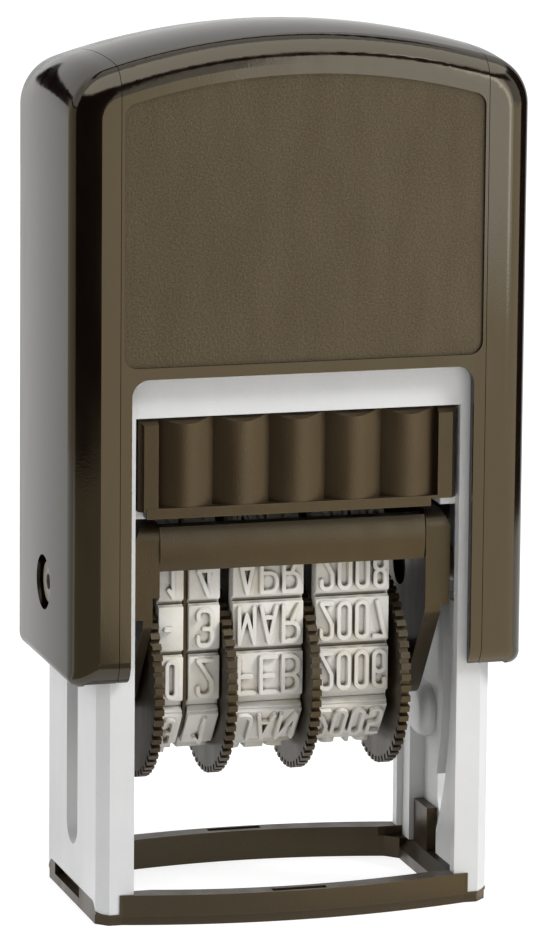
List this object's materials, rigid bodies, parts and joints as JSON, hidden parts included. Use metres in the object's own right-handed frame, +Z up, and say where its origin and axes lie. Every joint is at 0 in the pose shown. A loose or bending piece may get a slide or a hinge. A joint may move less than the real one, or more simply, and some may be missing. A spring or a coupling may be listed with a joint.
{
  "type": "self-inking date stamp",
  "caption": "Self-inking date stamp: a sprung cap slides on a channel frame and flips a unit of rubber date bands with thumbwheels from the ink pad to the paper.",
  "frame": {"origin": "centre of the footprint on the paper, at the underside of the base ring", "axes": "+X to the right seen from the front, +Y to the back, +Z up along the stroke; the pad is changed from the front, which faces -Y"},
  "size_m": [0.0448, 0.025, 0.0855],
  "materials": {
    "gloss_dark": "smooth dark brown-black",
    "matte_dark": "fine matte grain, dark brown-black",
    "light_grey": "light grey satin",
    "band_rubber": "off-white matte",
    "steel": "bright drawn wire",
    "ink_felt": "inked felt"
  },
  "bodies": {
    "base": {"base_ring": "matte_dark", "stand_frame": "light_grey", "return_spring": "steel"},
    "cap": {"cap_shell": "gloss_dark", "cap_saddle": "gloss_dark", "pivot_pin_left": "light_grey", "pivot_pin_right": "light_grey"},
    "pad_cassette": {"pad_tray": "matte_dark", "ink_pad": "ink_felt"},
    "date_unit": {"date_carrier": "matte_dark", "carrier_end_plate": "matte_dark", "type_bridge": "matte_dark", "band_divider": "matte_dark", "wheel_axle": "steel", "band_tens": "band_rubber", "band_units": "band_rubber", "band_month": "band_rubber", "band_year": "band_rubber"},
    "tens_wheel": {"thumbwheel_tens": "matte_dark"},
    "units_wheel": {"thumbwheel_units": "matte_dark"},
    "month_wheel": {"thumbwheel_month": "matte_dark"},
    "year_wheel": {"thumbwheel_year": "matte_dark"}
  },
  "joints": [
    {"name": "cap_press", "type": "slide", "parent": "base", "child": "cap", "axis": [0, 0, 1], "range_m": [-0.0224, 0], "stiffness_N_per_m": 250, "springref_m": 0.008, "deforming": ["return_spring"]},
    {"name": "date_flip", "type": "hinge", "parent": "cap", "child": "date_unit", "pos_m": [0, 0, 0.0317], "axis": [1, 0, 0], "range_deg": [0, 180]},
    {"name": "pad_slide", "type": "slide", "parent": "base", "child": "pad_cassette", "axis": [0, -1, 0], "range_m": [0, 0.028]},
    {"name": "tens_turn", "type": "hinge", "parent": "date_unit", "child": "tens_wheel", "pos_m": [-0.0133, 0, 0.0218], "axis": [1, 0, 0], "continuous": true},
    {"name": "units_turn", "type": "hinge", "parent": "date_unit", "child": "units_wheel", "pos_m": [-0.0061, 0, 0.0218], "axis": [1, 0, 0], "continuous": true},
    {"name": "month_turn", "type": "hinge", "parent": "date_unit", "child": "month_wheel", "pos_m": [0.0022, 0, 0.0218], "axis": [1, 0, 0], "continuous": true},
    {"name": "year_turn", "type": "hinge", "parent": "date_unit", "child": "year_wheel", "pos_m": [0.0111, 0, 0.0218], "axis": [1, 0, 0], "continuous": true}
  ],
  "couplings": [
    {"joint": "date_flip", "follows": "cap_press", "rad_per_m": -140.24}
  ]
}
